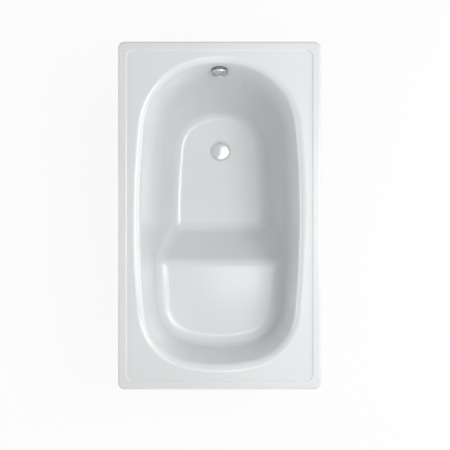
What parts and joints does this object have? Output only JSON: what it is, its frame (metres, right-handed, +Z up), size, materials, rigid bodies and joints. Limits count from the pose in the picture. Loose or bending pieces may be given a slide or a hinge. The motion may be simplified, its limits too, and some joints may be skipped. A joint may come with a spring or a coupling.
{
  "type": "sit-in bathtub",
  "caption": "White enamelled steel sit-in bathtub with a moulded seat, deep footwell, pop-up plug, turn-knob overflow and adjustable feet.",
  "frame": {"origin": "on the room floor under the middle of the rim", "axes": "+Z up, +Y towards the drain end along the length, +X to the right seen from the seat"},
  "size_m": [0.7, 1.2, 0.58],
  "materials": {
    "enamel": "glossy white vitreous enamel",
    "galvanised_steel": "galvanised sheet",
    "zinc_fasteners": "bright zinc plate",
    "black_rubber": "matt",
    "chrome": "polished chrome plate",
    "brass": "turned",
    "white_plastic": "satin polypropylene",
    "grey_plastic": "satin polypropylene",
    "black_plastic": "matt polyethylene"
  },
  "bodies": {
    "tub": {"cable_clips": "grey_plastic", "control_cable": "black_plastic", "cup_seal": "black_rubber", "earth_tag": "galvanised_steel", "faceplate_seal": "black_rubber", "flange_seal": "black_rubber", "front_rail": "galvanised_steel", "front_rail_pads": "black_rubber", "leg_lock_nuts": "zinc_fasteners", "leg_weld_nuts": "zinc_fasteners", "overflow_body": "white_plastic", "overflow_faceplate": "chrome", "overflow_gasket": "black_rubber", "overflow_pipe": "white_plastic", "overflow_screws": "zinc_fasteners", "pipe_nuts": "grey_plastic", "pipe_seals": "black_rubber", "post_bolts": "zinc_fasteners", "post_end_plates": "galvanised_steel", "post_nuts": "zinc_fasteners", "rail_studs": "zinc_fasteners", "rear_post_left": "galvanised_steel", "rear_post_right": "galvanised_steel", "rear_rail": "galvanised_steel", "rear_rail_pads": "black_rubber", "stud_nuts": "zinc_fasteners", "stud_washers": "zinc_fasteners", "trap_cup": "white_plastic", "trap_head": "white_plastic", "trap_seal": "black_rubber", "tub_shell": "enamel", "waste_body": "white_plastic", "waste_flange": "chrome", "waste_gasket": "black_rubber"},
    "plug": {"plug_cap": "chrome", "plug_stem": "brass", "plug_seal": "black_rubber"},
    "knob": {"overflow_knob": "chrome", "knob_shaft": "zinc_fasteners", "knob_crank": "grey_plastic"},
    "lever": {"lift_lever": "grey_plastic", "lever_shaft": "zinc_fasteners", "lever_arm": "grey_plastic"},
    "foot_front_left": {"foot_front_left": "black_plastic"},
    "rod_front_left": {"rod_front_left": "zinc_fasteners"},
    "foot_front_right": {"foot_front_right": "black_plastic"},
    "rod_front_right": {"rod_front_right": "zinc_fasteners"},
    "foot_rear_left": {"foot_rear_left": "black_plastic"},
    "rod_rear_left": {"rod_rear_left": "zinc_fasteners"},
    "foot_rear_right": {"foot_rear_right": "black_plastic"},
    "rod_rear_right": {"rod_rear_right": "zinc_fasteners"}
  },
  "joints": [
    {"name": "plug_lift", "type": "slide", "parent": "tub", "child": "plug", "axis": [0, 0, 1], "range_m": [0, 0.008]},
    {"name": "knob_turn", "type": "hinge", "parent": "tub", "child": "knob", "pos_m": [0, 0.5169, 0.51], "axis": [0, -0.9733, 0.2297], "range_deg": [0, 90]},
    {"name": "lever_tilt", "type": "hinge", "parent": "tub", "child": "lever", "pos_m": [0, 0.24, 0.118], "axis": [1, 0, 0], "range_deg": [0, 23.6]},
    {"name": "foot_front_left_height", "type": "slide", "parent": "tub", "child": "foot_front_left", "axis": [0, 0, 1], "range_m": [-0.025, 0.01]},
    {"name": "rod_front_left_turn", "type": "hinge", "parent": "foot_front_left", "child": "rod_front_left", "pos_m": [-0.2, 0.335, 0.05], "axis": [0, 0, 1], "range_deg": [-6001, 2401]},
    {"name": "foot_front_right_height", "type": "slide", "parent": "tub", "child": "foot_front_right", "axis": [0, 0, 1], "range_m": [-0.025, 0.01]},
    {"name": "rod_front_right_turn", "type": "hinge", "parent": "foot_front_right", "child": "rod_front_right", "pos_m": [0.2, 0.335, 0.05], "axis": [0, 0, 1], "range_deg": [-6001, 2401]},
    {"name": "foot_rear_left_height", "type": "slide", "parent": "tub", "child": "foot_rear_left", "axis": [0, 0, 1], "range_m": [-0.025, 0.01]},
    {"name": "rod_rear_left_turn", "type": "hinge", "parent": "foot_rear_left", "child": "rod_rear_left", "pos_m": [-0.2, -0.34, 0.05], "axis": [0, 0, 1], "range_deg": [-6001, 2401]},
    {"name": "foot_rear_right_height", "type": "slide", "parent": "tub", "child": "foot_rear_right", "axis": [0, 0, 1], "range_m": [-0.025, 0.01]},
    {"name": "rod_rear_right_turn", "type": "hinge", "parent": "foot_rear_right", "child": "rod_rear_right", "pos_m": [0.2, -0.34, 0.05], "axis": [0, 0, 1], "range_deg": [-6001, 2401]}
  ],
  "couplings": [
    {"joint": "knob_turn", "follows": "plug_lift", "rad_per_m": 196.34},
    {"joint": "lever_tilt", "follows": "plug_lift", "rad_per_m": 51.44},
    {"joint": "rod_front_left_turn", "follows": "foot_front_left_height", "rad_per_m": 4188.8},
    {"joint": "rod_front_right_turn", "follows": "foot_front_right_height", "rad_per_m": 4188.8},
    {"joint": "rod_rear_left_turn", "follows": "foot_rear_left_height", "rad_per_m": 4188.8},
    {"joint": "rod_rear_right_turn", "follows": "foot_rear_right_height", "rad_per_m": 4188.8}
  ]
}
